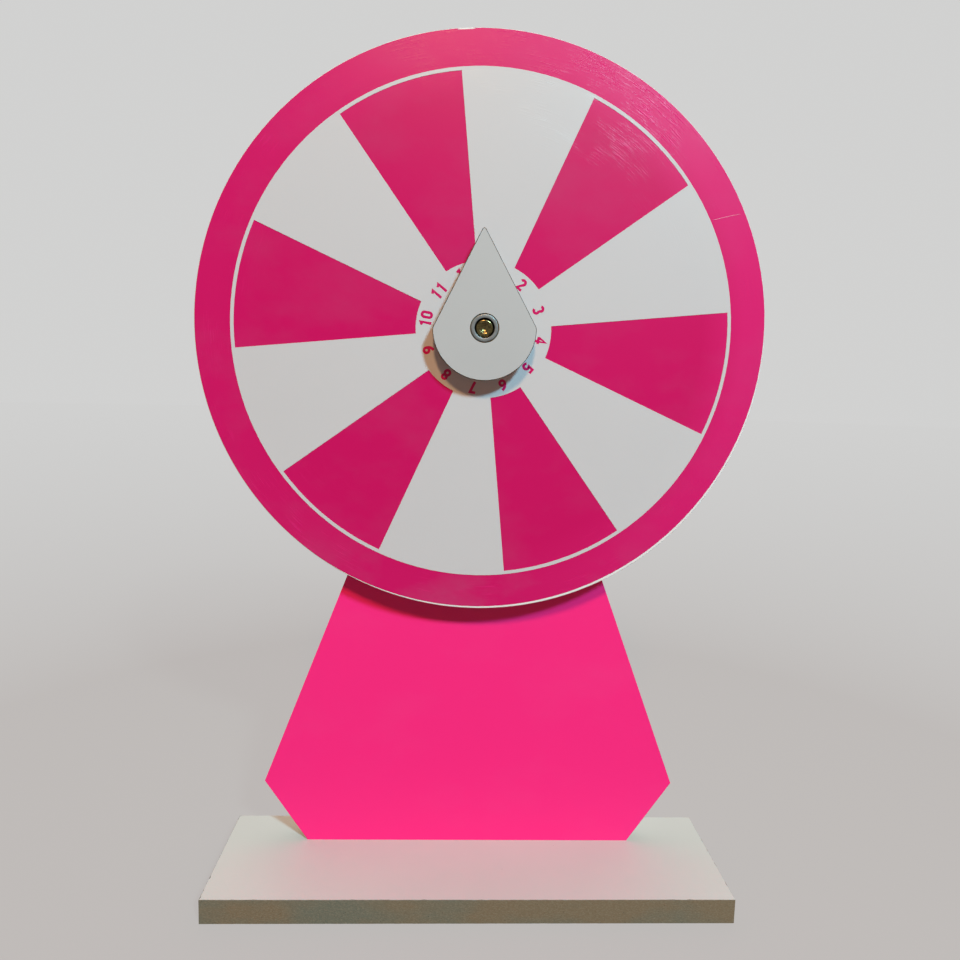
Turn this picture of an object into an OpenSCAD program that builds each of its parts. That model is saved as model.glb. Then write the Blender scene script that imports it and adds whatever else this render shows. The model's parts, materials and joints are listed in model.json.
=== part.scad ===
// Table-top game wheel: a disc of coloured sectors that spins on two ball bearings
// in front of a stand board, with a fixed teardrop pointer over its hub.
// The front faces -Y and the underside of the base lies on z = 0.

/* [Base] */
// Width of the base board
base_w = 375; // [330:1:450]
// Depth of the base board, front to back
base_d = 107; // [100:1:160]
// Thickness of the base board
base_t = 18; // [15:0.5:25]

/* [Stand] */
// Thickness of the stand board
stand_t = 18; // [15:0.5:25]
// Width of the stand's foot
stand_foot_w = 252; // [220:1:300]
// Width of the stand at its widest
stand_wide_w = 318; // [280:1:360]
// Height of the widest place above the base
stand_wide_h = 48.5; // [30:0.5:90]
// Width of the stand at the axle
stand_axle_w = 54; // [45:1:100]
// How far the stand rises above the axle
stand_rise = 30; // [22:1:45]
// Radius of the stand's top corners
stand_corner_r = 10; // [4:0.5:12]
// Room behind the stand on the base
stand_setback = 16; // [14:0.5:24]
// Height of the axle above the base
axle_h = 395.5; // [330:0.5:450]

/* [Wheel] */
// Diameter of the wheel
wheel_d = 400; // [360:1:440]
// Thickness of the wheel
wheel_t = 18; // [16:0.5:25]
// Room between the wheel and the stand
wheel_gap = 8; // [5:0.5:14]
// Turn of the wheel at rest, anticlockwise from the front
wheel_turn = -8.9; // [-30:0.1:30]

/* [Films] */
// Thickness of the coloured films
film_t = 0.2; // [0.1:0.05:0.4]
// Number of windows in the white film, each a coloured sector
sector_count = 6; // [4:1:10]
// How far each side of a window stands in from its radius
sector_inset = 1.1; // [0.5:0.1:3]
// Diameter of the white circle round the hub
hub_circle_d = 95; // [85:1:130]
// Width of the white ring round the windows
ring_line_w = 2.4; // [1.5:0.1:6]
// Width of the band between the white ring and the wheel's edge
rim_w = 24.7; // [14:0.1:36]
// Narrowest margin outside the face film, where it is trimmed to the wheel
rim_trim = 0.4; // [0.3:0.1:1]
// Widest margin outside the face film
rim_margin = 1.9; // [1.2:0.1:4]
// How far the face film's circle lies off centre
rim_shift = 2.6; // [2:0.1:4]
// Direction of that shift, anticlockwise from the front
rim_shift_turn = 120; // [0:5:355]

/* [Pointer] */
// Thickness of the pointer board
pointer_t = 9; // [9:0.5:15]
// Width of the pointer's round end
pointer_w = 71; // [60:1:84]
// Height of the point above the axle, before its tip is rounded
pointer_point_h = 68; // [55:1:85]
// Radius of the tip
pointer_tip_r = 1.5; // [0.8:0.1:3]
// Radius where the straight sides meet the round end
pointer_corner_r = 7; // [3:0.5:12]
// Room between the pointer and the wheel
pointer_gap = 8; // [3:0.5:12]
// Turn of the pointer from upright, anticlockwise from the front
pointer_turn = 1.7; // [-10:0.1:10]

/* [Pointer bush] */
// Diameter of the bush's flange
flange_d = 19.6; // [18.6:0.2:24]
// Thickness of the flange
flange_t = 1.6; // [1:0.1:2.5]
// How far the flange stands proud of the pointer
flange_proud = 0.6; // [0.2:0.1:0.8]
// Bevel round the flange
flange_bevel = 0.5; // [0.2:0.1:0.8]
// Wall of the bush round the screw head
bush_wall = 1.6; // [1.2:0.1:2]
// Floor under the screw head
bush_floor = 2; // [1.5:0.1:3]
// How far the bush stands out behind the pointer
bush_nose = 1.9; // [1.5:0.1:2.4]

/* [Axle] */
// Outside diameter of the axle screw's thread
axle_d = 7.9; // [7.9:0.02:7.96]
// Diameter of the screw head
head_d = 13; // [12:0.1:14]
// Height of the screw head
head_h = 8; // [6:0.5:8]
// Edge rounding of the screw head
head_bevel = 0.8; // [0.3:0.1:1.2]
// Socket width across its flats
socket_af = 6; // [4:0.5:7]
// Depth of the socket
socket_depth = 4; // [3:0.5:5]
// Bevel at the end of the thread
axle_bevel = 1; // [0.5:0.1:1.5]
// Length of the thread past the nut
thread_end = 2.3; // [1:0.1:4]
// Outside diameter of the spacers
spacer_d = 11.4; // [10.4:0.1:11.8]
// Outside diameter of the washer
washer_d = 24; // [16:1:30]
// Thickness of the washer
washer_t = 1.6; // [1:0.1:2.5]
// Nut width across its flats
nut_af = 13; // [13:0.5:15]
// Height of the nut's hexagon
nut_hex_h = 5.5; // [4.5:0.1:7]
// Height of the nut's round collar
nut_collar_h = 2.5; // [2.2:0.1:4]
// Diameter of the nut's round collar
nut_collar_d = 11.8; // [11:0.1:12.6]
// Diameter of the nut's nylon insert
insert_d = 9.8; // [9:0.1:10.4]
// Depth of the nut's nylon insert
insert_depth = 2; // [1.2:0.1:2]

/* [Bearings] */
// Bore of a bearing
bearing_bore = 8; // [8:0.02:8.06]
// Outside diameter of a bearing
bearing_od = 22; // [21.8:0.1:24]
// Width of a bearing
bearing_w = 7; // [6.6:0.1:7.4]
// Diameter of a ball
ball_d = 3.97; // [3.4:0.01:4.1]
// Number of balls in a bearing
ball_count = 7; // [5:1:8]
// Diameter of the circle that the balls run on
pitch_d = 15; // [14.8:0.1:15.4]
// Outside diameter of the inner ring
inner_ring_d = 12.1; // [12:0.05:12.6]
// Inside diameter of the outer ring
outer_ring_d = 17.9; // [17.4:0.05:18.2]
// Thickness of a shield
shield_t = 0.35; // [0.2:0.05:0.5]
// Width of the seat that holds a shield in the outer ring
shield_seat = 0.4; // [0.3:0.05:0.6]
// How deep a shield lies below the bearing's face
shield_sink = 0.2; // [0.1:0.05:0.3]
// Radial wall of the ball cage
cage_wall = 1.2; // [0.8:0.1:1.6]
// Width of the ball cage
cage_w = 5; // [4.8:0.1:5.2]

/* [Base screws] */
// Number of base screws
screw_count = 3; // [2:1:4]
// Distance between base screws
screw_pitch = 70; // [50:1:72]
// Outside diameter of a base screw
screw_d = 4.5; // [3.5:0.1:5.5]
// Length of a base screw
screw_len = 50; // [40:1:70]
// Head diameter of a base screw
screw_head_d = 8.8; // [7.5:0.1:11]
// Length of a base screw's point
screw_point = 6; // [4:0.5:9]
// Diameter of a base screw's tip
screw_tip_d = 1; // [0.5:0.1:1.5]
// Length of the cross recess in a base screw's head
recess_l = 4; // [3:0.1:4.4]
// Width of the cross recess
recess_w = 1; // [0.6:0.1:1.4]
// Depth of the cross recess
recess_depth = 1.8; // [1:0.1:2]
// How deep a base screw's head lies in the underside
screw_sink = 0.5; // [0.2:0.1:1]

/* [Fits] */
// Radial clearance of a seat that doesn't move
seat_fit = 0.02; // [0.01:0.01:0.05]
// Radial clearance of a hole that a screw passes through
hole_fit = 0.3; // [0.1:0.05:0.4]
// Clearance round a ball
ball_fit = 0.06; // [0.04:0.01:0.1]
// Radial clearance between a shield and the inner ring
shield_fit = 0.15; // [0.1:0.05:0.2]

/* [Hidden] */
$fn = 96;
// Overshoot of a cut past the face that it opens
cut = 1;
// Largest turn between two points of an arc
arc_step = 3;

// Heights
axle_z = base_t + axle_h;
stand_top = axle_h + stand_rise;

// Places along the axle, from the back of the base to the pointer's face
stand_back = base_d / 2 - stand_setback;
stand_front = stand_back - stand_t;
wheel_back = stand_front - wheel_gap;
wheel_front = wheel_back - wheel_t;
pointer_back = wheel_front - pointer_gap;
pointer_front = pointer_back - pointer_t;
flange_front = pointer_front - flange_proud;
bush_back = pointer_back + bush_nose;
head_seat = bush_back - bush_floor;
front_bearing_back = wheel_front + bearing_w;
rear_bearing_front = wheel_back - bearing_w;
nut_front = stand_back + washer_t;
nut_back = nut_front + nut_hex_h + nut_collar_h;
axle_end = nut_back + thread_end;

// Radii
axle_r = axle_d / 2;
hole_r = axle_r + hole_fit;
spacer_r = spacer_d / 2;
pitch_r = pitch_d / 2;
groove_r = ball_d / 2 + ball_fit;
inner_ring_r = inner_ring_d / 2;
outer_ring_r = outer_ring_d / 2;
shield_seat_r = outer_ring_r + shield_seat;
insert_r = insert_d / 2;
head_bore_r = head_d / 2 + hole_fit;
bush_r = head_bore_r + bush_wall;
pocket_r = bearing_od / 2 + seat_fit;
film_hole_r = pocket_r + hole_fit;
wheel_r = wheel_d / 2;
face_film_r = wheel_r - rim_margin + rim_shift;
rim_inner_r = wheel_r - rim_w;
sector_r = rim_inner_r - ring_line_w;

// Pointer outline: a half disc under a triangle, with its corners rounded
pointer_r = pointer_w / 2;
point_turn = atan(pointer_r / pointer_point_h);
side_out = [cos(point_turn), sin(point_turn)];
side_down = [sin(point_turn), -cos(point_turn)];
side_far = pointer_point_h * sin(point_turn);
corner_drop = sqrt(
    pow(pointer_r - pointer_corner_r, 2) - pow(side_far - pointer_corner_r, 2)
);
corner_at = side_out * (side_far - pointer_corner_r) + side_down * corner_drop;
tip_at = [0, pointer_point_h - pointer_tip_r / sin(point_turn)];

// Stand outline: the side's lean inwards and the centre of a rounded top corner
stand_lean = atan(
    (stand_wide_w - stand_axle_w) / 2 / (axle_h - stand_wide_h)
);
lean_out = [cos(stand_lean), sin(stand_lean)];
lean_far = lean_out * [stand_axle_w / 2, axle_h];
top_corner_y = stand_top - stand_corner_r;
top_corner_at = [
    (lean_far - stand_corner_r - top_corner_y * lean_out[1]) / lean_out[0],
    top_corner_y
];

// Base screws
screw_y = stand_back - stand_t / 2;
screw_head_h = (screw_head_d - screw_d) / 2;

function flip(p) = [-p[0], p[1]];

// Points along an arc about a centre, with as many left out at each end as trim says
function arc(at, r, from, to, trim = 0) =
    let (steps = ceil(abs(to - from) / arc_step))
    [for (i = [trim : steps - trim])
        let (turn = from + (to - from) * i / steps)
        at + r * [cos(turn), sin(turn)]];

// Stands a flat outline upright, with its back face at y
module upright(y, z = 0) {
    translate([0, y, z]) rotate([90, 0, 0]) children();
}

// A plate on the axle from one place along it to another, its outline seen from the front
module on_axle(from, to) {
    upright(to, axle_z) linear_extrude(to - from) children();
}

// A round solid on the axle, cut through by a hole
module sleeve(from, to, outer_r, inner_r) {
    on_axle(from, to) difference() {
        circle(outer_r);
        circle(inner_r);
    }
}

// A hexagon of the given width across its flats
module hexagon(across) {
    circle(across / 2 / cos(30), $fn = 6);
}

// Base and stand
module base_board() {
    color("whitesmoke") difference() {
        translate([-base_w / 2, -base_d / 2, 0]) cube([base_w, base_d, base_t]);
        at_screws() screw_hole();
    }
}

// Repeats its child at each base screw
module at_screws() {
    for (i = [0 : screw_count - 1])
        translate([(i - (screw_count - 1) / 2) * screw_pitch, screw_y, 0]) children();
}

// Room for one base screw: its countersink, its shank and its point
module screw_hole() {
    shank_r = screw_d / 2 + seat_fit;
    head_r = screw_head_d / 2 + seat_fit;
    translate([0, 0, -cut]) cylinder(h = screw_sink + cut, r = head_r);
    translate([0, 0, screw_sink]) cylinder(h = screw_head_h, r1 = head_r, r2 = shank_r);
    translate([0, 0, screw_sink]) cylinder(h = screw_len + cut, r = shank_r);
}

module base_screw() {
    shank = screw_len - screw_head_h - screw_point;
    difference() {
        translate([0, 0, screw_sink]) {
            cylinder(h = screw_head_h, r1 = screw_head_d / 2, r2 = screw_d / 2);
            translate([0, 0, screw_head_h]) cylinder(h = shank, d = screw_d);
            translate([0, 0, screw_head_h + shank])
                cylinder(h = screw_point, d1 = screw_d, d2 = screw_tip_d);
        }
        for (turn = [0, 90])
            translate([0, 0, screw_sink]) rotate([0, 0, turn])
                cube([recess_l, recess_w, 2 * recess_depth], center = true);
    }
}

module base_screws() {
    color("silver") at_screws() base_screw();
}

// The stand's face, with its foot on y = 0
module stand_outline() {
    foot = [stand_foot_w / 2, 0];
    wide = [stand_wide_w / 2, stand_wide_h];
    polygon(concat(
        [foot, wide],
        arc(top_corner_at, stand_corner_r, stand_lean, 90),
        arc(flip(top_corner_at), stand_corner_r, 90, 180 - stand_lean),
        [flip(wide), flip(foot)]
    ));
}

module stand_board() {
    color("whitesmoke") difference() {
        upright(stand_back, base_t) linear_extrude(stand_t) stand_outline();
        on_axle(stand_front - cut, stand_back + cut) circle(hole_r);
        at_screws() screw_hole();
    }
}

module stand_film() {
    color("deeppink") difference() {
        upright(stand_front, base_t) linear_extrude(film_t) stand_outline();
        on_axle(stand_front - film_t - cut, stand_front + cut) circle(spacer_r + hole_fit);
    }
}

// Pointer
module pointer_outline() {
    round_turn = atan2(corner_at[1], corner_at[0]);
    polygon(concat(
        arc(tip_at, pointer_tip_r, point_turn, 180 - point_turn),
        arc(flip(corner_at), pointer_corner_r, 180 - point_turn, 180 - round_turn),
        arc([0, 0], pointer_r, 180 - round_turn, 360 + round_turn, 1),
        arc(corner_at, pointer_corner_r, 360 + round_turn, 360 + point_turn)
    ));
}

module pointer_board() {
    color("gainsboro") difference() {
        on_axle(pointer_front, pointer_back) rotate(pointer_turn) pointer_outline();
        on_axle(pointer_front - cut, pointer_back + cut) circle(bush_r + seat_fit);
        on_axle(pointer_front - cut, flange_front + flange_t) circle(flange_d / 2 + seat_fit);
    }
}

// A flanged cup that holds the screw head and clamps the pointer
module pointer_bush() {
    length = bush_back - flange_front;
    flange_r = flange_d / 2;
    color("silver") upright(bush_back, axle_z) rotate_extrude() polygon([
        [hole_r, 0],
        [bush_r, 0],
        [bush_r, length - flange_t],
        [flange_r, length - flange_t],
        [flange_r, length - flange_bevel],
        [flange_r - flange_bevel, length],
        [head_bore_r, length],
        [head_bore_r, bush_floor],
        [hole_r, bush_floor]
    ]);
}

// Axle and what it clamps
module axle_screw() {
    head_r = head_d / 2;
    shank = axle_end - head_seat;
    color("dimgray") difference() {
        upright(head_seat, axle_z) rotate_extrude() polygon([
            [0, -shank],
            [axle_r - axle_bevel, -shank],
            [axle_r, axle_bevel - shank],
            [axle_r, 0],
            [head_r, 0],
            [head_r, head_h - head_bevel],
            [head_r - head_bevel, head_h],
            [0, head_h]
        ]);
        on_axle(head_seat - head_h - cut, head_seat - head_h + socket_depth)
            hexagon(socket_af);
    }
}

module pointer_spacer() {
    color("silver") sleeve(bush_back, wheel_front, spacer_r, hole_r);
}

module bearing_spacer() {
    color("silver") sleeve(front_bearing_back, rear_bearing_front, spacer_r, hole_r);
}

module stand_spacer() {
    color("silver") sleeve(wheel_back, stand_front, spacer_r, hole_r);
}

module nut_washer() {
    color("silver") sleeve(stand_back, nut_front, washer_d / 2, hole_r);
}

// A hexagon with its corners turned off and a round collar behind it
module axle_nut() {
    flat_r = nut_af / 2;
    corner_r = flat_r / cos(30);
    corner_bevel = (corner_r - flat_r) / 2;
    color("lightsteelblue") difference() {
        union() {
            intersection() {
                on_axle(nut_front, nut_front + nut_hex_h) hexagon(nut_af);
                upright(nut_front + nut_hex_h, axle_z) rotate_extrude() polygon([
                    [0, 0],
                    [corner_r, 0],
                    [corner_r, nut_hex_h - corner_bevel],
                    [flat_r, nut_hex_h],
                    [0, nut_hex_h]
                ]);
            }
            on_axle(nut_front + nut_hex_h, nut_back) circle(d = nut_collar_d);
        }
        on_axle(nut_front - cut, nut_back + cut) circle(axle_r + seat_fit);
        on_axle(nut_back - insert_depth, nut_back + cut) circle(insert_r);
    }
}

module nut_insert() {
    color("white") sleeve(
        nut_back - insert_depth, nut_back, insert_r - seat_fit, axle_r + seat_fit
    );
}

// Wheel
module wheel_disc() {
    color("whitesmoke") difference() {
        on_axle(wheel_front, wheel_back) circle(wheel_r, $fn = 180);
        on_axle(wheel_front - cut, wheel_back + cut) circle(shield_seat_r);
        on_axle(wheel_front - cut, front_bearing_back) circle(pocket_r);
        on_axle(rear_bearing_front, wheel_back + cut) circle(pocket_r);
    }
}

// Lays a film over the wheel's face and the films under it, turned with the wheel
module wheel_film(under) {
    back = wheel_front - under * film_t;
    on_axle(back - film_t, back) rotate(wheel_turn) children();
}

// A coloured sheet laid a little off centre and trimmed where it reaches the wheel's edge
module face_film() {
    shift = rim_shift_turn - wheel_turn;
    color("mediumvioletred") wheel_film(0) difference() {
        intersection() {
            circle(wheel_r - rim_trim, $fn = 180);
            translate(rim_shift * [cos(shift), sin(shift)]) circle(face_film_r, $fn = 180);
        }
        circle(film_hole_r);
    }
}

// One window about the X axis: a wedge between two circles, its sides set in from the radius
module sector_window() {
    half = 90 / sector_count;
    apex = sector_inset / sin(half);
    reach = 2 * sector_r;
    intersection() {
        difference() {
            circle(sector_r, $fn = 180);
            circle(d = hub_circle_d);
        }
        polygon([
            [apex, 0],
            [apex + reach * cos(half), -reach * sin(half)],
            [apex + reach * cos(half), reach * sin(half)]
        ]);
    }
}

// A white sheet of a hub circle, a thin ring and the sectors that join them
module sector_film() {
    color("white") wheel_film(1) difference() {
        circle(rim_inner_r, $fn = 180);
        circle(film_hole_r);
        for (i = [0 : sector_count - 1])
            rotate(i * 360 / sector_count) sector_window();
    }
}

// Bearings, each told where its front face lies
module inner_ring(front) {
    color("lightgray") ring_with_groove(front, bearing_bore / 2, inner_ring_r);
}

// A ring round the axle with the balls' groove turned in it
module ring_with_groove(front, inner_r, outer_r) {
    upright(front + bearing_w, axle_z) rotate_extrude() difference() {
        translate([inner_r, 0]) square([outer_r - inner_r, bearing_w]);
        translate([pitch_r, bearing_w / 2]) circle(groove_r);
    }
}

module outer_ring(front) {
    seat = shield_t + shield_sink;
    color("lightgray") difference() {
        ring_with_groove(front, outer_ring_r, bearing_od / 2);
        on_axle(front - cut, front + seat) circle(shield_seat_r);
        on_axle(front + bearing_w - seat, front + bearing_w + cut) circle(shield_seat_r);
    }
}

module shields(front) {
    inner_r = inner_ring_r + shield_fit;
    near = front + shield_sink;
    far = front + bearing_w - shield_sink - shield_t;
    color("darkgray")
        for (at = [near, far])
            sleeve(at, at + shield_t, shield_seat_r - seat_fit, inner_r);
}

// Repeats its child at each ball of a bearing
module at_balls(front) {
    upright(front + bearing_w / 2, axle_z)
        for (i = [0 : ball_count - 1])
            rotate(i * 360 / ball_count) translate([pitch_r, 0, 0]) children();
}

module balls(front) {
    color("silver") at_balls(front) sphere(d = ball_d);
}

module cage(front) {
    middle = front + bearing_w / 2;
    color("slategray") difference() {
        sleeve(
            middle - cage_w / 2, middle + cage_w / 2,
            pitch_r + cage_wall / 2, pitch_r - cage_wall / 2
        );
        at_balls(front) rotate([0, 90, 0])
            cylinder(h = 2 * cage_wall, r = groove_r, center = true);
    }
}

base_board();
base_screws();
stand_board();
stand_film();
pointer_board();
pointer_bush();
axle_screw();
pointer_spacer();
inner_ring(wheel_front);  // front_inner_ring
bearing_spacer();
inner_ring(rear_bearing_front);  // rear_inner_ring
stand_spacer();
nut_washer();
axle_nut();
nut_insert();
wheel_disc();
face_film();
sector_film();
outer_ring(wheel_front);  // front_outer_ring
shields(wheel_front);  // front_shields
outer_ring(rear_bearing_front);  // rear_outer_ring
shields(rear_bearing_front);  // rear_shields
balls(wheel_front);  // front_balls
cage(wheel_front);  // front_cage
balls(rear_bearing_front);  // rear_balls
cage(rear_bearing_front);  // rear_cage
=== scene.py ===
import json
import math
import random

import bmesh
import bpy
from mathutils import Matrix, Vector

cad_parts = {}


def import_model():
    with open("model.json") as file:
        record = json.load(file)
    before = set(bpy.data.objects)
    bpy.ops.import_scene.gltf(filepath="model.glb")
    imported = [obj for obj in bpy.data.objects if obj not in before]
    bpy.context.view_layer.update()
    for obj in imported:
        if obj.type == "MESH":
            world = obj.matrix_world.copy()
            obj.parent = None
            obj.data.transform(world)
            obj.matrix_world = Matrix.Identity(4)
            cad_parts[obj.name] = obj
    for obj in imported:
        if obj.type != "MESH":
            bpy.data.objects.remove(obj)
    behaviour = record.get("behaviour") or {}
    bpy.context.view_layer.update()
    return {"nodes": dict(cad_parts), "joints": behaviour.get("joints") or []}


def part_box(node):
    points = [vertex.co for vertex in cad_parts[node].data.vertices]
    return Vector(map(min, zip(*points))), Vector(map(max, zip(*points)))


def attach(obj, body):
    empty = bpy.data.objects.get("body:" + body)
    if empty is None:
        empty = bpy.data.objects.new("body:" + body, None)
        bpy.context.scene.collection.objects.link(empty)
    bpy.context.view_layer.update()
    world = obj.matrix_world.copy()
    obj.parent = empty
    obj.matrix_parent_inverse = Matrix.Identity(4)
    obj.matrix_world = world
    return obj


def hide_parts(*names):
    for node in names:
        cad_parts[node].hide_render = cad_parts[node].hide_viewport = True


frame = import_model()

# Sizes are in metres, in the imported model's frame
MM = 0.001
AXLE_Z = frame["joints"][0]["pos_m"][2]
NEAR_AXLE = 12 * MM
SMOOTH_ANGLE = math.radians(32)
ROUND_STEPS = 96
WHEEL_STEPS = 360
# How far the CAD wheel's facets lie inside its true circle
FACET_DROP = 0.07 * MM
# The higher, the fewer places on a board's edge are chipped deeply
CHIP_RARITY = 14
# Points closer than this are one point
WELD = 1e-7
# How far a corner may lie off the flat face that it belongs to
FLATNESS = 1e-5
# The least cosine that a mitre is divided by, at an outline's corner and at a stroke's bend
LEAST_MITRE = 0.5
LEAST_STROKE_MITRE = 0.6
# The order of a board's materials
NEAR_FACE, FAR_FACE, RAW_SIDE, ARRIS = range(4)

# Marks on the wheel's films
WHEEL_TURN = math.radians(-8.9)
MARK_T = 0.04 * MM
# Directions on the wheel's face, across and up, after a nought in the radius's place:
# where its film carries the most painted sheen, and where it is most scratched
PAINTED_SHEEN_SIDE = (0, 0.85, 0.53)
SCRATCHED_SIDE = (0, 0.55, 0.835)

# Further out than any film reaches, for a film with only the least wear and the least painted sheen
PAST_ALL = 1.0

# Sockets of a colour mix node: its two colours and its result
MIX_A, MIX_B, MIX_RESULT = 6, 7, 2

# The lamps
LAMP_DISTANCE = 3.6
LAMP_SIZE = 0.38

# The photograph's camera, placed from the hub on the wheel's face
IMAGE_PX = 960
FOCAL_PX = 776
SENSOR = 36
CAMERA_FROM_HUB = Vector((-23.2, -551.4, -42.9)) * MM
CAMERA_PITCH = math.radians(6.504)
CAMERA_YAW = math.radians(-2.448)
CAMERA_ROLL = math.radians(1.571)


# Meshes

def place_on_axle(radius, angle, along):
    """A point round the axle. The angle runs anticlockwise as seen from the front."""
    return Vector((radius * math.cos(angle), along, AXLE_Z + radius * math.sin(angle)))


def full_turn(steps):
    """Angles all the way round, evenly apart."""
    return [i * math.tau / steps for i in range(steps)]


def finish_mesh(name, bm, materials, body, replaced=()):
    """Turns a bmesh into a piece with sharp edges kept sharp, and lets it ride on a body."""
    bmesh.ops.remove_doubles(bm, verts=bm.verts, dist=WELD)
    bmesh.ops.recalc_face_normals(bm, faces=bm.faces)
    for face in bm.faces:
        face.smooth = True
    for edge in bm.edges:
        finishes = {face.material_index for face in edge.link_faces}
        edge.smooth = len(finishes) == 1 and edge.calc_face_angle(0) < SMOOTH_ANGLE
    mesh = bpy.data.meshes.new(name)
    bm.to_mesh(mesh)
    bm.free()
    for material in materials:
        mesh.materials.append(material)
    piece = bpy.data.objects.new(name, mesh)
    bpy.context.scene.collection.objects.link(piece)
    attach(piece, body)
    if replaced:
        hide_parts(*replaced)


def bridge(bm, loops, material_index=0):
    """Joins each loop to the next one with a strip of faces."""
    for near, far in zip(loops, loops[1:]):
        for i in range(len(near)):
            j = (i + 1) % len(near)
            face = bm.faces.new((near[i], near[j], far[j], far[i]))
            face.material_index = material_index


def fill(bm, loops, material_index=0):
    """Fills the flat face between an outer loop and the loops of its holes."""
    edges = []
    for loop in loops:
        for a, b in zip(loop, loop[1:] + loop[:1]):
            edges.append(bm.edges.get((a, b)) or bm.edges.new((a, b)))
    for made in bmesh.ops.triangle_fill(bm, use_beauty=True, edges=edges)["geom"]:
        if isinstance(made, bmesh.types.BMFace):
            made.material_index = material_index


def outline_of(node):
    """The corners of a convex upright board's front face, anticlockwise, without its hole."""
    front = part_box(node)[0].y
    corners = set()
    for vertex in frame["nodes"][node].data.vertices:
        x, y, z = vertex.co
        if y - front < FLATNESS and math.hypot(x, z - AXLE_Z) > NEAR_AXLE:
            corners.add((round(x, 7), round(z, 7)))
    centre = Vector((sum(c[0] for c in corners), sum(c[1] for c in corners))) / len(corners)
    return sorted(corners, key=lambda c: math.atan2(c[1] - centre.y, c[0] - centre.x))


def along_sides(outline, step):
    """The outline with points added on its sides, no further apart than the step."""
    points = []
    for a, b in zip(outline, outline[1:] + outline[:1]):
        start, end = Vector(a), Vector(b)
        count = max(1, math.ceil((end - start).length / step))
        points += [start.lerp(end, i / count) for i in range(count)]
    return points


def inset(points, depths):
    """Each point moved inwards, square to the outline, by its own depth."""
    moved = []
    for i, point in enumerate(points):
        after, before = points[(i + 1) % len(points)] - point, point - points[i - 1]
        after.normalize()
        before.normalize()
        side = (after + before).normalized()
        inwards = Vector((-side.y, side.x))
        mitre = inwards.dot(Vector((-after.y, after.x)))
        moved.append(point + inwards * depths[i] / max(LEAST_MITRE, mitre))
    return moved


def board(name, outline, near, far, *, arris, holes, materials, body, replaced,
          chip_step, chip, seed, upright=True):
    """A faced board: rim and holes are stacks of loops, and the two faces are filled between them.

    Materials are the near face's, the far face's, the raw edge's and the arris's. Each hole is a
    centre with rows of depth and radius. Chips deepen the arris here and there.
    """
    def put(u, v, depth):
        return bm.verts.new((u, depth, v) if upright else (u, v, depth))

    def rim_loop(points, depth):
        return [put(p.x, p.y, depth) for p in points]

    bm = bmesh.new()
    draw = random.Random(seed)
    points = along_sides(outline, chip_step)
    turns = full_turn(ROUND_STEPS)

    def worn():
        return [arris + chip * draw.random() ** CHIP_RARITY for _ in points]

    rim = [
        rim_loop(inset(points, worn()), near),
        rim_loop(points, near + arris),
        rim_loop(points, far - arris),
        rim_loop(inset(points, worn()), far),
    ]
    walls = []
    for (u, v), rows in holes:
        walls.append([[put(u + r * math.cos(t), v + r * math.sin(t), d) for t in turns] for d, r in rows])
    bridge(bm, rim[:2], ARRIS)
    bridge(bm, rim[1:3], RAW_SIDE)
    bridge(bm, rim[2:], ARRIS)
    for wall in walls:
        bridge(bm, wall, RAW_SIDE)
    fill(bm, [rim[0]] + [wall[0] for wall in walls], NEAR_FACE)
    fill(bm, [rim[-1]] + [wall[-1] for wall in walls], FAR_FACE)
    finish_mesh(name, bm, materials, body, replaced)


def turned(name, rows, material, replaced, closed=True, steps=ROUND_STEPS):
    """A piece turned about the axle. A row is a place along the axle and a radius,
    which may be a function of the angle. A closed piece is a ring; an open one ends on the axle."""
    bm = bmesh.new()
    turns = full_turn(steps)
    loops = []
    for along, radius in rows:
        reach = radius if callable(radius) else lambda turn, r=radius: r
        loops.append([bm.verts.new(place_on_axle(reach(t), t, along)) for t in turns])
    bridge(bm, loops + loops[:1] if closed else loops)
    finish_mesh(name, bm, [material], "stand", [replaced])


def levels(node):
    """The places along the axle and the radii at which a round node has corners, each from low to high."""
    corners = [v.co for v in frame["nodes"][node].data.vertices]
    along = {round(c.y, 5) for c in corners}
    reach = {round(math.hypot(c.x, c.z - AXLE_Z), 5) for c in corners}
    return sorted(along), sorted(reach)


def hexagon(across):
    """The radius of a hexagon by angle, from its width across the flats."""
    sixth = math.tau / 6
    return lambda angle: across / 2 / math.cos(angle % sixth - sixth / 2)


def rounded(along, radius, size, start, end, count=5):
    """Rows round part of a circle of this size, from one angle to another. At 0 degrees the circle
    is furthest from the axle, and at 90 furthest back."""
    rows = []
    for i in range(count + 1):
        turn = math.radians(start + (end - start) * i / count)
        rows.append((along + size * math.sin(turn), radius + size * math.cos(turn)))
    return rows


def ring(name, node, bevel):
    """A plain ring in place of a node, with its edges turned off."""
    (front, *_, back), (inner, *_, outer) = levels(node)
    rows = [
        (front, inner + bevel), (front, outer - bevel), (front + bevel, outer), (back - bevel, outer),
        (back, outer - bevel), (back, inner + bevel), (back - bevel, inner), (front + bevel, inner),
    ]
    turned(name, rows, ZINC, node)


def thread_rows(start, end, radius, pitch, depth):
    """Rows of a right-hand thread between two places along the axle."""
    rows_a_turn = 8
    # The slopes take two thirds of a pitch, and the flat crest and root a sixth each
    slope, flat = 1.5, 0.25
    count = math.ceil((end - start) / pitch * rows_a_turn)
    rows = []
    for i in range(count + 1):
        along = start + (end - start) * i / count

        def reach(angle, along=along):
            phase = ((along - start) / pitch - angle / math.tau) % 1
            return radius - depth * min(1, max(0, abs(2 * phase - 1) * slope - flat))

        rows.append((along, reach))
    return rows


# Materials

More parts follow.
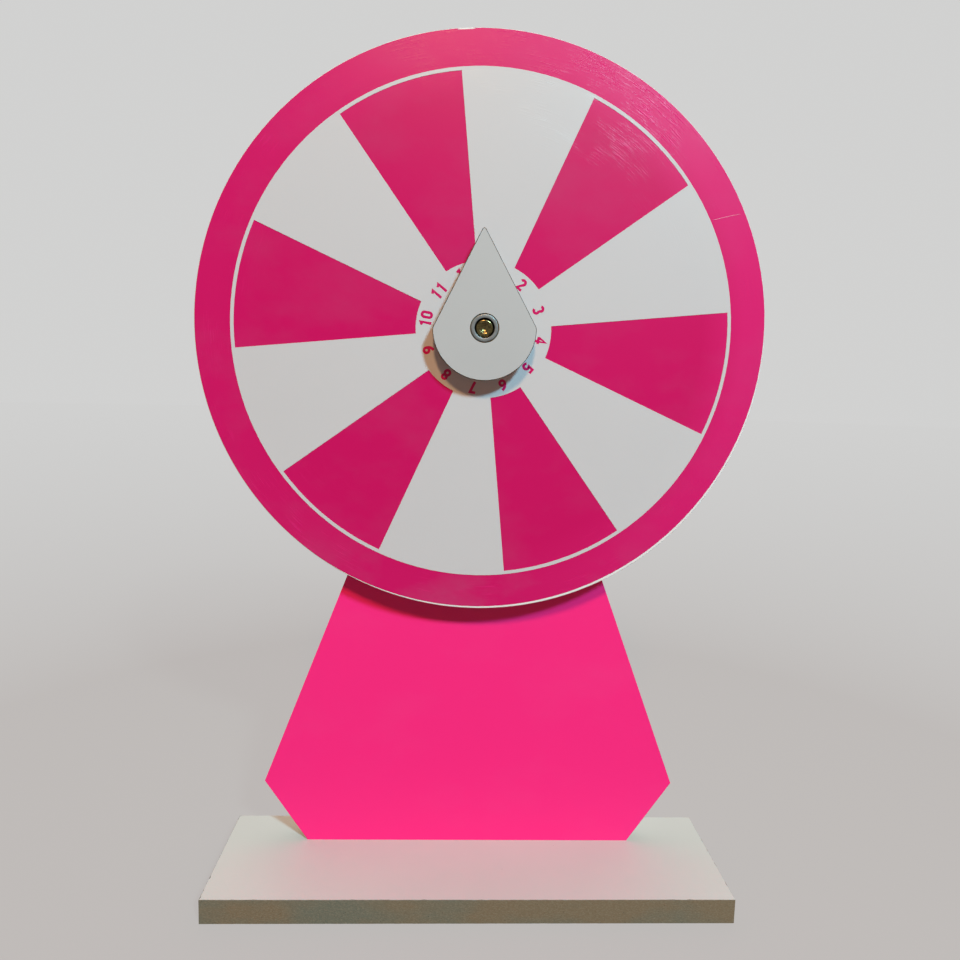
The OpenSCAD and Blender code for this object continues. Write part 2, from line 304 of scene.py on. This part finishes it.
class Finish:
    """A node material whose shader sockets are set, or fed by the nodes that its methods add."""

    def __init__(self, name, colour, **sockets):
        self.material = bpy.data.materials.new(name)
        self.material.use_nodes = True
        self.tree = self.material.node_tree
        self.shader = self.tree.nodes["Principled BSDF"]
        self.shader.inputs["Base Color"].default_value = (*colour, 1)
        for socket, value in sockets.items():
            self.shader.inputs[socket.replace("_", " ")].default_value = value
        self.place = self.add("ShaderNodeTexCoord").outputs["Object"]

    def add(self, kind, inputs=None, **settings):
        node = self.tree.nodes.new(kind)
        for key, value in settings.items():
            setattr(node, key, value)
        for key, value in (inputs or {}).items():
            if isinstance(value, bpy.types.NodeSocket):
                self.tree.links.new(value, node.inputs[key])
            else:
                node.inputs[key].default_value = value
        return node

    def feed(self, socket, value):
        self.tree.links.new(value, self.shader.inputs[socket])

    def combine(self, operation, a, b=0.0):
        return self.add("ShaderNodeMath", {0: a, 1: b}, operation=operation).outputs[0]

    def dot(self, a, b):
        return self.add("ShaderNodeVectorMath", {0: a, 1: b}, operation="DOT_PRODUCT").outputs["Value"]

    def spread(self, value, low, high, to_low=0.0, to_high=1.0):
        """Maps the values from low to high onto another range, and clamps the rest."""
        inputs = {"Value": value, "From Min": low, "From Max": high, "To Min": to_low, "To Max": to_high}
        return self.add("ShaderNodeMapRange", inputs).outputs["Result"]

    def mix(self, factor, a, b):
        colours = [c if isinstance(c, bpy.types.NodeSocket) else (*c, 1) for c in (a, b)]
        inputs = {0: factor, MIX_A: colours[0], MIX_B: colours[1]}
        return self.add("ShaderNodeMix", inputs, data_type="RGBA").outputs[MIX_RESULT]

    def noise(self, scale, detail=2.0, roughness=0.5, at=None):
        """Noise with about this many blots a metre, along all three axes or along each."""
        stretch = scale if hasattr(scale, "__len__") else (scale,) * 3
        scaled = self.add("ShaderNodeMapping", {"Vector": at or self.place, "Scale": stretch})
        inputs = {"Vector": scaled.outputs[0], "Scale": 1.0, "Detail": detail, "Roughness": roughness}
        return self.add("ShaderNodeTexNoise", inputs).outputs["Fac"]

    def round_axle(self):
        """Radius about the axle with the direction from it, as a vector whose axes can be stretched.
        The direction's two parts go round without a seam."""
        flat = {0: self.place, 1: (1, 0, 1), 2: (0, 0, -AXLE_Z)}
        spoke = self.add("ShaderNodeVectorMath", flat, operation="MULTIPLY_ADD").outputs["Vector"]
        radius = self.add("ShaderNodeVectorMath", {0: spoke}, operation="LENGTH").outputs["Value"]
        towards = self.add("ShaderNodeVectorMath", {0: spoke}, operation="NORMALIZE").outputs["Vector"]
        parts = self.add("ShaderNodeSeparateXYZ", {0: towards}).outputs
        inputs = {0: radius, 1: parts["X"], 2: parts["Z"]}
        return self.add("ShaderNodeCombineXYZ", inputs).outputs[0]

    def bump(self, height, strength, distance):
        inputs = {"Height": height, "Strength": strength, "Distance": distance}
        self.feed("Normal", self.add("ShaderNodeBump", inputs).outputs["Normal"])


def faced_board(name, colour):
    """Melamine: a hard, faintly pearled skin with a little dust and a few specks."""
    made = Finish(name, colour, Specular_IOR_Level=0.25)
    cloud = made.spread(made.noise(9, detail=4), 0.35, 0.7)
    dusty = made.mix(cloud, colour, tuple(c * 0.95 for c in colour))
    speck = made.spread(made.noise(300, detail=1), 0.83, 0.85)
    made.feed("Base Color", made.mix(speck, dusty, tuple(c * 0.5 for c in colour)))
    pearl = made.noise(1900, detail=3)
    made.feed("Roughness", made.spread(pearl, 0.3, 0.7, 0.38, 0.5))
    made.bump(pearl, 0.08, 0.1 * MM)
    return made.material


def raw_fibreboard(name):
    """A sawn fibreboard edge: grey-green and brown patches, fine fibres and dark pits."""
    green, brown, pale = (0.14, 0.143, 0.108), (0.185, 0.14, 0.087), (0.28, 0.24, 0.17)
    made = Finish(name, green, Specular_IOR_Level=0.15, Roughness=0.85)
    patches = made.mix(made.spread(made.noise((14, 14, 30), detail=3), 0.4, 0.6), green, brown)
    fibre = made.noise((620, 620, 1500), detail=5, roughness=0.7)
    fibres = made.mix(made.spread(fibre, 0.45, 0.85), patches, pale)
    pit = made.spread(made.noise((800, 800, 1400), detail=2), 0.68, 0.76)
    made.feed("Base Color", made.mix(pit, fibres, (0.05, 0.045, 0.035)))
    made.bump(fibre, 0.5, 0.3 * MM)
    return made.material


def edge_line(name, dark, rubbed):
    """The rubbed line where a board's skin ends."""
    made = Finish(name, dark, Specular_IOR_Level=0.1, Roughness=0.8)
    worn = made.spread(made.noise(180, detail=4), 0.4, 0.7)
    made.feed("Base Color", made.mix(worn, dark, rubbed))
    return made.material


def vinyl(name, colour, dust, scratch_and_sheen, wear_and_sheen_from):
    """Vinyl film: dusty smudges, with more of them low down, fine scratches round the axle that catch
    the light, and a painted sheen that makes one side lighter. Its scratches and its painted sheen are
    strongest past the radius given for its rim."""
    made = Finish(name, colour, Specular_IOR_Level=0.17)
    dust_top, dust_full = AXLE_Z - 0.15, AXLE_Z - 0.19
    wear_band, rub_band = 0.03, 0.035
    height = made.add("ShaderNodeSeparateXYZ", {0: made.place}).outputs["Z"]
    dusty = made.spread(height, dust_top, dust_full, 0.25, 0.75)
    smudge = made.spread(made.noise((11, 11, 17), detail=5, roughness=0.62), 0.47, 0.8)
    about = made.round_axle()
    scratch = made.noise((1700, 11, 11), detail=2, roughness=0.5, at=about)
    sparse = made.spread(made.noise((45, 6, 6), detail=3, at=about), 0.42, 0.62)
    radius = made.add("ShaderNodeSeparateXYZ", {0: about}).outputs["X"]
    # Past the rim's radius the film is scratched more and carries more painted sheen
    worn = made.spread(radius, wear_and_sheen_from, wear_and_sheen_from + wear_band, 0.15, 1.0)
    outer = made.spread(radius, wear_and_sheen_from - rub_band, wear_and_sheen_from + rub_band)
    rubbed_side = made.spread(made.dot(about, SCRATCHED_SIDE), 0.72, 0.97, 0.0, 0.9)
    rubbed = made.combine("MULTIPLY", rubbed_side, outer)
    lightly = made.combine("MULTIPLY", worn, 0.4)
    scratched = made.combine("MULTIPLY", sparse, made.combine("MAXIMUM", rubbed, lightly))
    fine = made.combine("MULTIPLY", made.spread(scratch, 0.53, 0.66), scratched)
    # Painted sheen: the colour is painted lighter towards one side, most of all at the rim
    painted_sheen_side = made.spread(made.dot(about, PAINTED_SHEEN_SIDE), -0.6, 1.0, 0.1, 0.45)
    painted_sheen = made.combine("MULTIPLY", painted_sheen_side, worn)
    smudged = made.mix(made.combine("MULTIPLY", smudge, dusty), colour, dust)
    made.feed("Base Color", made.mix(made.combine("MAXIMUM", fine, painted_sheen), smudged, scratch_and_sheen))
    made.feed("Roughness", made.spread(fine, 0.0, 1.0, 0.3, 0.25))
    made.bump(fine, 0.8, 0.1 * MM)
    return made.material


def metal(name, colour, roughness, lined, tarnish, blots=320):
    """Machined metal: fine lines round the axle and blots of tarnish, about this many a metre."""
    made = Finish(name, colour, Metallic=1.0)
    lines = made.noise((9000, 3, 3), detail=2, at=made.round_axle())
    blot = made.spread(made.noise(blots, detail=4), 0.4, 0.75)
    made.feed("Base Color", made.mix(blot, colour, tarnish))
    made.feed("Roughness", made.spread(lines, 0.25, 0.75, roughness * 0.8, roughness * 1.25))
    made.bump(lines, lined, 0.02 * MM)
    return made.material


def nylon(name):
    made = Finish(name, (0.72, 0.75, 0.8), Subsurface_Weight=0.2, Subsurface_Radius=(0.6 * MM,) * 3)
    grain = made.noise(2500, detail=3)
    made.feed("Base Color", made.mix(grain, (0.72, 0.75, 0.8), (0.62, 0.66, 0.72)))
    made.feed("Roughness", made.spread(grain, 0.3, 0.7, 0.35, 0.5))
    return made.material


WHITE_BOARD = faced_board("white_melamine", (0.645, 0.65, 0.615))
WHEEL_BOARD = faced_board("bright_melamine", (0.76, 0.76, 0.755))
POINTER_FACE = faced_board("pale_melamine", (0.455, 0.465, 0.47))
RAW_EDGE = raw_fibreboard("raw_fibreboard")
# Near black, darker than the raw board: a rubbed arris with painted shade, which draws the pointer's dark
# outline
DARK_ARRIS_AND_SHADE = edge_line("dark_arris_and_shade", (0.045, 0.042, 0.035), (0.13, 0.115, 0.09))
PALE_LINE = edge_line("pale_edge_line", (0.2, 0.185, 0.155), (0.36, 0.345, 0.31))
# Each film's lighter colour serves both its scratches and its painted sheen
MAGENTA = vinyl("magenta_vinyl", (0.545, 0.002, 0.103), dust=(0.4, 0.08, 0.18),
                scratch_and_sheen=(0.78, 0.025, 0.22), wear_and_sheen_from=0.155)
PINK = vinyl("pink_vinyl", (0.94, 0.022, 0.217), dust=(0.92, 0.035, 0.23),
             scratch_and_sheen=(0.95, 0.05, 0.25), wear_and_sheen_from=PAST_ALL)
WHITE_FILM = vinyl("white_vinyl", (0.555, 0.55, 0.565), dust=(0.52, 0.52, 0.53),
                   scratch_and_sheen=(0.575, 0.575, 0.58), wear_and_sheen_from=0.155)
ZINC = metal("zinc_plate", (0.44, 0.46, 0.48), roughness=0.32, lined=0.3, tarnish=(0.33, 0.34, 0.36))
SATIN_STEEL = metal("satin_steel", (0.2, 0.207, 0.205), roughness=0.34, lined=0.3,
                    tarnish=(0.155, 0.16, 0.16))
YELLOW_ZINC = metal("yellow_zinc", (0.13, 0.1, 0.042), roughness=0.2, lined=0.15,
                    tarnish=(0.03, 0.02, 0.011), blots=700)
BEARING_STEEL = metal("bearing_steel", (0.5, 0.5, 0.5), roughness=0.18, lined=0.1,
                      tarnish=(0.42, 0.41, 0.39))
NYLON = nylon("nylon")
BOARD_SKIN = [WHITE_BOARD, WHITE_BOARD, RAW_EDGE, PALE_LINE]


# Boards

def base_panel():
    low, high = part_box("base_board")
    outline = [(low.x, low.y), (high.x, low.y), (high.x, high.y), (low.x, high.y)]
    screw_low, screw_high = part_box("base_screws")
    head_r = (screw_high.y - screw_low.y) / 2
    screw_y = (screw_high.y + screw_low.y) / 2
    reach = screw_high.x - head_r
    shank_r, sink = 2.27 * MM, screw_low.z
    rows = [(low.z, head_r), (sink, head_r), (sink + head_r - shank_r, shank_r), (high.z, shank_r)]
    holes = [((x, screw_y), rows) for x in (-reach, 0.0, reach)]
    board("base_panel", outline, low.z, high.z, arris=0.2 * MM, holes=holes, materials=BOARD_SKIN,
          body="stand", replaced=["base_board"],
          chip_step=2.5 * MM, chip=0.7 * MM, seed=3, upright=False)


def stand_panel():
    low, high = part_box("stand_board")
    hole_r = levels("stand_spacer")[1][0]
    holes = [((0.0, AXLE_Z), [(low.y, hole_r), (high.y, hole_r)])]
    board("stand_panel", outline_of("stand_board"), low.y, high.y, arris=0.15 * MM, holes=holes,
          materials=BOARD_SKIN, body="stand", replaced=["stand_board"],
          chip_step=4 * MM, chip=0.3 * MM, seed=5)


def pointer_panel():
    low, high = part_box("pointer_board")
    (_, _, flange_back, *_), (_, _, body_r, _, sink_r) = levels("pointer_bush")
    bevel = 0.2 * MM
    rows = [(low.y, sink_r + bevel), (low.y + bevel, sink_r), (flange_back, sink_r),
            (flange_back, body_r), (high.y, body_r)]
    holes = [((0.0, AXLE_Z), rows)]
    # The pointer's arris is painted near black, a painted shade round its outline
    skin = [POINTER_FACE, WHITE_BOARD, RAW_EDGE, DARK_ARRIS_AND_SHADE]
    board("pointer_panel", outline_of("pointer_board"), low.y, high.y, arris=0.4 * MM, holes=holes,
          materials=skin, body="stand", replaced=["pointer_board"],
          chip_step=2 * MM, chip=0.15 * MM, seed=8)


def wheel_panel():
    (front, front_pocket, rear_pocket, back), (land_r, pocket_r, rim_r) = levels("wheel_disc")
    rim_r -= FACET_DROP
    outline = [(rim_r * math.cos(t), AXLE_Z + rim_r * math.sin(t)) for t in full_turn(WHEEL_STEPS)]
    rows = [(front, pocket_r), (front_pocket, pocket_r), (front_pocket, land_r),
            (rear_pocket, land_r), (rear_pocket, pocket_r), (back, pocket_r)]
    holes = [((0.0, AXLE_Z), rows)]
    skin = [WHEEL_BOARD, WHEEL_BOARD, RAW_EDGE, WHEEL_BOARD]
    board("wheel_panel", outline, front, back, arris=0.3 * MM, holes=holes, materials=skin,
          body="wheel", replaced=["wheel_disc"],
          chip_step=3 * MM, chip=0.1 * MM, seed=13)


# Hardware on the axle

def bush():
    (front, bevel_back, flange_back, floor_front, back), radii = levels("pointer_bush")
    hole_r, bore_r, body_r, _, sink_r = radii
    flange_gap, lip, bevel = 0.45 * MM, 0.35 * MM, 0.2 * MM
    flange_r = sink_r - flange_gap
    round_r = bevel_back - front
    rows = [
        (floor_front, hole_r), (floor_front, bore_r), (front + lip, bore_r),
        *rounded(front + lip, bore_r + lip, lip, 180, 270),
        *rounded(bevel_back, flange_r - round_r, round_r, -90, 0),
        (flange_back, flange_r), (flange_back, body_r),
        (back - bevel, body_r), (back, body_r - bevel), (back, hole_r),
    ]
    turned("flanged_bush", rows, SATIN_STEEL, "pointer_bush")


def socket_screw():
    along, radii = levels("axle_screw")
    front, _, bevel_back, socket_end, seat, thread_bevel, *_, end = along
    tip_r, _, socket_r, _, axle_r, *_, head_r = radii
    across = socket_r * math.sqrt(3)
    round_r, mouth, bevel = 2 * (bevel_back - front), 0.3 * MM, 0.3 * MM
    dish, dish_steps = math.radians(33), 6
    dish_r = across / 2 / math.sin(dish)
    dish_turns = [dish * i / dish_steps for i in range(dish_steps + 1)]
    dish_rows = [(socket_end - dish_r * (1 - math.cos(t)), dish_r * math.sin(t)) for t in dish_turns]
    thread_before_washer = 10 * MM
    thread_start = levels("nut_washer")[0][0] - thread_before_washer
    rows = [
        *dish_rows, (dish_rows[-1][0], hexagon(across)),
        (front + mouth, hexagon(across)), (front, socket_r + mouth),
        *rounded(front + round_r, head_r - round_r, round_r, -90, 0),
        (seat - bevel, head_r), (seat, head_r - bevel), (seat, axle_r), (thread_start, axle_r),
        *thread_rows(thread_start, thread_bevel, axle_r, pitch=1.25 * MM, depth=0.65 * MM),
        (end, tip_r), (end, 0.0),
    ]
    turned("socket_screw", rows, YELLOW_ZINC, "axle_screw", closed=False)


def lock_nut():
    (front, *_, hex_back, insert_front, back), (bore_r, insert_r, collar_r, flat_r, *_) = levels("axle_nut")
    flat = hexagon(2 * flat_r)
    bevel, lead = 0.6 * MM, 0.5 * MM
    fillet_r, fillet_h = 0.2 * MM, 0.3 * MM
    crown_r = flat_r * 1.01

    def crowned(angle):
        return min(flat(angle), crown_r)

    rows = [
        (front + lead, bore_r), (front, bore_r + lead), (front, crowned), (front + bevel, flat),
        (hex_back - bevel, flat), (hex_back, crowned),
        (hex_back, collar_r + fillet_r), (hex_back + fillet_h, collar_r),
        *rounded(back - bevel, collar_r - bevel, bevel, 0, 90),
        (back, insert_r), (insert_front, insert_r), (insert_front, bore_r),
    ]
    turned("lock_nut", rows, ZINC, "axle_nut", steps=120)


# Marks on the wheel

def arc(u, v, r, start, end):
    """Points on part of a circle, from one angle in degrees to another."""
    degrees_a_step = 12
    steps = math.ceil(abs(end - start) / degrees_a_step)
    turns = [math.radians(start + (end - start) * i / steps) for i in range(steps + 1)]
    return [(u + r * math.cos(t), v + r * math.sin(t)) for t in turns]


# The middle lines of plain digits, one unit high, by the line across and the line up
DIGITS = {
    "0": [arc(0, 0.7, 0.2, 0, 180) + arc(0, 0.3, 0.2, 180, 360) + [(0.2, 0.7)]],
    "1": [[(-0.17, 0.76), (0.05, 0.91), (0.05, 0)]],
    "2": [arc(0, 0.7, 0.2, 165, -35) + [(-0.2, 0.1), (0.28, 0.1)]],
    "3": [arc(-0.02, 0.71, 0.19, 150, -75), arc(-0.02, 0.31, 0.21, 75, -150)],
    "4": [[(0.1, 0), (0.1, 0.92), (-0.22, 0.3)], [(-0.28, 0.3), (0.3, 0.3)]],
    "5": [[(0.22, 0.9), (-0.16, 0.9), (-0.18, 0.48)] + arc(-0.02, 0.32, 0.22, 120, -150)],
    "6": [arc(0, 0.31, 0.21, -180, 180), arc(0.36, 0.34, 0.57, 180, 108)],
    "7": [[(-0.25, 0.9), (0.2, 0.9), (-0.08, 0)]],
    "8": [arc(0, 0.71, 0.18, -90, 270), arc(0, 0.31, 0.21, -90, 270)],
    "9": [arc(0, 0.69, 0.21, 0, 360), arc(-0.36, 0.66, 0.57, 0, -72)],
}


def ribbon(bm, points, half, put):
    """A flat strip along a line of points. Put gives the place of a point on its front or its back."""
    line = [Vector(p) for p in points]
    closed = (line[0] - line[-1]).length < half
    steps = [(b - a).normalized() for a, b in zip(line, line[1:])]
    first, last = (steps[-1:], steps[:1]) if closed else (steps[:1], steps[-1:])
    loops = []
    for point, into, out in zip(line, first + steps, steps + last):
        along = (into + out).normalized()
        side = Vector((-along.y, along.x)) * half / max(LEAST_STROKE_MITRE, along.dot(out))
        edges = ((point - side, True), (point + side, True), (point + side, False), (point - side, False))
        loops.append([bm.verts.new(put(place, front)) for place, front in edges])
    bridge(bm, loops)
    if not closed:
        bm.faces.new(loops[0])
        bm.faces.new(loops[-1])


def numerals(count, first, reach, height, pitch, half):
    """Plain numbers round the hub, one to a sector, with their tops outwards."""
    bm = bmesh.new()
    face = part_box("sector_film")[0].y
    for i in range(count):
        turn = first - i * math.tau / count
        outwards = place_on_axle(1, turn, 0) - place_on_axle(0, turn, 0)
        across = outwards.cross(Vector((0, -1, 0)))
        digits = str(i + 1)
        for k, digit in enumerate(digits):
            aside = across * (k - (len(digits) - 1) / 2) * pitch
            start = place_on_axle(reach - height / 2, turn, face) + aside
            for n, stroke in enumerate(DIGITS[digit]):
                # Where two strokes cross, the first lies over the second
                depth = Vector((0, MARK_T / (n + 1), 0))

                def put(place, front, start=start, depth=depth):
                    on_film = start + (across * place.x + outwards * place.y) * height
                    return on_film - depth if front else on_film

                ribbon(bm, stroke, half, put)
    finish_mesh("hub_numerals", bm, [MAGENTA], "wheel")


def rim_marks(strokes):
    """Thin bare places in the coloured film. A stroke is a start, an end and a width, each end
    a radius and an angle in degrees."""
    bm = bmesh.new()
    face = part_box("face_film")[0].y
    count = 8
    # A mark keeps some width at its ends, and swells towards its middle
    end_part, swell = 0.06, 0.6
    for (start_r, start_a), (end_r, end_a), width in strokes:
        near, far = [], []
        for i in range(count + 1):
            part = i / count
            r = start_r + (end_r - start_r) * part
            a = math.radians(start_a + (end_a - start_a) * part)
            inside = end_part + (1 - 2 * end_part) * part
            half = width / 2 * math.sin(math.pi * inside) ** swell
            along_rim = abs(end_a - start_a) * r * math.radians(1) > abs(end_r - start_r)
            for row, side in ((near, -half), (far, half)):
                row.append((r + side, a) if along_rim else (r, a + side / r))
        loop = near + far[::-1]
        front = [bm.verts.new(place_on_axle(r, a, face - MARK_T)) for r, a in loop]
        back = [bm.verts.new(place_on_axle(r, a, face)) for r, a in loop]
        bridge(bm, [front, back])
        fill(bm, [front])
        fill(bm, [back])
    finish_mesh("rim_marks", bm, [WHEEL_BOARD], "wheel")


# Lamps, floor and camera

def lamp(name, azimuth, elevation, power, colour):
    """A soft round lamp aimed at the hub. Azimuth runs to the right from the front."""
    a, e = math.radians(azimuth), math.radians(elevation)
    towards = Vector((math.sin(a) * math.cos(e), -math.cos(a) * math.cos(e), math.sin(e)))
    light = bpy.data.lights.new(name, "AREA")
    light.shape = "DISK"
    light.size = LAMP_SIZE
    light.energy = power
    light.color = colour
    holder = bpy.data.objects.new(name, light)
    holder.location = Vector((0, 0, AXLE_Z)) + towards * LAMP_DISTANCE
    holder.rotation_euler = towards.to_track_quat("Z", "Y").to_euler()
    holder.visible_camera = False
    bpy.context.scene.collection.objects.link(holder)


def seen_directly(tree):
    """1 on camera, glossy and transmission rays, which show the backdrop, and 0 on the rest."""
    path = tree.nodes.new("ShaderNodeLightPath")
    total = path.outputs["Is Camera Ray"]
    for ray in ("Is Glossy Ray", "Is Transmission Ray"):
        either = tree.nodes.new("ShaderNodeMath")
        either.operation = "MAXIMUM"
        tree.links.new(total, either.inputs[0])
        tree.links.new(path.outputs[ray], either.inputs[1])
        total = either.outputs[0]
    return total


def world(front, back, backdrop):
    """Soft light all round, from dim at the front to brighter at the back, before a plain backdrop."""
    made = bpy.data.worlds.new("studio")
    made.use_nodes = True
    tree = made.node_tree

    def mix(factor, a, b):
        node = tree.nodes.new("ShaderNodeMix")
        node.data_type = "RGBA"
        tree.links.new(factor, node.inputs[0])
        for key, colour in ((MIX_A, a), (MIX_B, b)):
            if isinstance(colour, bpy.types.NodeSocket):
                tree.links.new(colour, node.inputs[key])
            else:
                node.inputs[key].default_value = (*colour, 1)
        return node.outputs[MIX_RESULT]

    parts = tree.nodes.new("ShaderNodeSeparateXYZ")
    tree.links.new(tree.nodes.new("ShaderNodeTexCoord").outputs["Generated"], parts.inputs[0])
    turn = tree.nodes.new("ShaderNodeMapRange")
    turn.inputs["From Min"].default_value = -0.1
    turn.inputs["From Max"].default_value = 0.9
    tree.links.new(parts.outputs["Y"], turn.inputs["Value"])
    soft = mix(turn.outputs["Result"], front, back)
    tree.links.new(mix(seen_directly(tree), soft, backdrop), tree.nodes["Background"].inputs["Color"])
    bpy.context.scene.world = made


def floor(colour, backdrop, share, near, radius):
    """A pale floor. Where it is seen directly, a share of it is the backdrop, and nearly all far away."""
    bm = bmesh.new()
    bmesh.ops.create_circle(bm, cap_ends=True, segments=128, radius=radius)
    mesh = bpy.data.meshes.new("floor")
    bm.to_mesh(mesh)
    bm.free()
    made = Finish("floor", colour, Roughness=0.9, Specular_IOR_Level=0.1)
    grain = made.noise(60, detail=4)
    made.feed("Base Color", made.mix(grain, colour, tuple(c * 0.985 for c in colour)))
    reach = made.add("ShaderNodeVectorMath", {0: made.place}, operation="LENGTH").outputs["Value"]
    nearness = made.combine("DIVIDE", near, reach)
    fade = made.combine("MULTIPLY", made.spread(nearness, 0.0, 1.0, 1.0, share), seen_directly(made.tree))
    glow = made.add("ShaderNodeEmission", {"Color": (*backdrop, 1)})
    both = made.add("ShaderNodeMixShader", {0: fade, 1: made.shader.outputs[0], 2: glow.outputs[0]})
    made.tree.links.new(both.outputs[0], made.tree.nodes["Material Output"].inputs["Surface"])
    mesh.materials.append(made.material)
    piece = bpy.data.objects.new("floor", mesh)
    bpy.context.scene.collection.objects.link(piece)


def camera():
    data = bpy.data.cameras.new("camera")
    data.sensor_width = SENSOR
    data.lens = SENSOR * FOCAL_PX / IMAGE_PX
    turn = Matrix.Rotation(CAMERA_YAW, 4, "Z")
    tilt = Matrix.Rotation(math.pi / 2 - CAMERA_PITCH, 4, "X")
    roll = Matrix.Rotation(CAMERA_ROLL, 4, "Z")
    hub = Vector((0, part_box("wheel_disc")[0].y, AXLE_Z))
    holder = bpy.data.objects.new("camera", data)
    holder.matrix_world = Matrix.Translation(hub + CAMERA_FROM_HUB) @ turn @ tilt @ roll
    bpy.context.scene.collection.objects.link(holder)
    bpy.context.scene.camera = holder


camera()
BACKDROP = (0.64, 0.64, 0.635)
world(front=(0.17, 0.07, 0.05), back=(1.1, 1.06, 1.0), backdrop=BACKDROP)
floor(colour=(0.27, 0.18, 0.145), backdrop=BACKDROP, share=0.7, near=0.6, radius=14)
lamp("cool_lamp", azimuth=23.8, elevation=31.8, power=125, colour=(0.45, 0.83, 1.0))
lamp("warm_lamp", azimuth=-3.1, elevation=35.5, power=72, colour=(1.0, 0.58, 0.29))

base_panel()
stand_panel()
wheel_panel()
pointer_panel()
bush()
socket_screw()
ring("front_spacer", "pointer_spacer", 0.3 * MM)
ring("middle_spacer", "bearing_spacer", 0.3 * MM)
ring("rear_spacer", "stand_spacer", 0.3 * MM)
ring("flat_washer", "nut_washer", 0.25 * MM)
lock_nut()
numerals(count=12, first=WHEEL_TURN + math.tau / 4, reach=40.8 * MM, height=8.4 * MM,
         pitch=5.8 * MM, half=0.112)
rim_marks([
    ((199.2 * MM, 96.6), (199.2 * MM, 93.2), 0.8 * MM),
    ((177.1 * MM, 26.94), (196 * MM, 25.68), 0.12 * MM),
])

NODE_FINISH = {
    "base_screws": ZINC, "stand_film": PINK, "face_film": MAGENTA, "sector_film": WHITE_FILM,
    "nut_insert": NYLON,
}
for bearing in ("front", "rear"):
    for part in ("inner_ring", "outer_ring", "balls"):
        NODE_FINISH[f"{bearing}_{part}"] = BEARING_STEEL
    for part in ("shields", "cage"):
        NODE_FINISH[f"{bearing}_{part}"] = ZINC
for node, material in NODE_FINISH.items():
    mesh = frame["nodes"][node].data
    mesh.materials.clear()
    mesh.materials.append(material)

bpy.context.scene.view_settings.view_transform = "Standard"
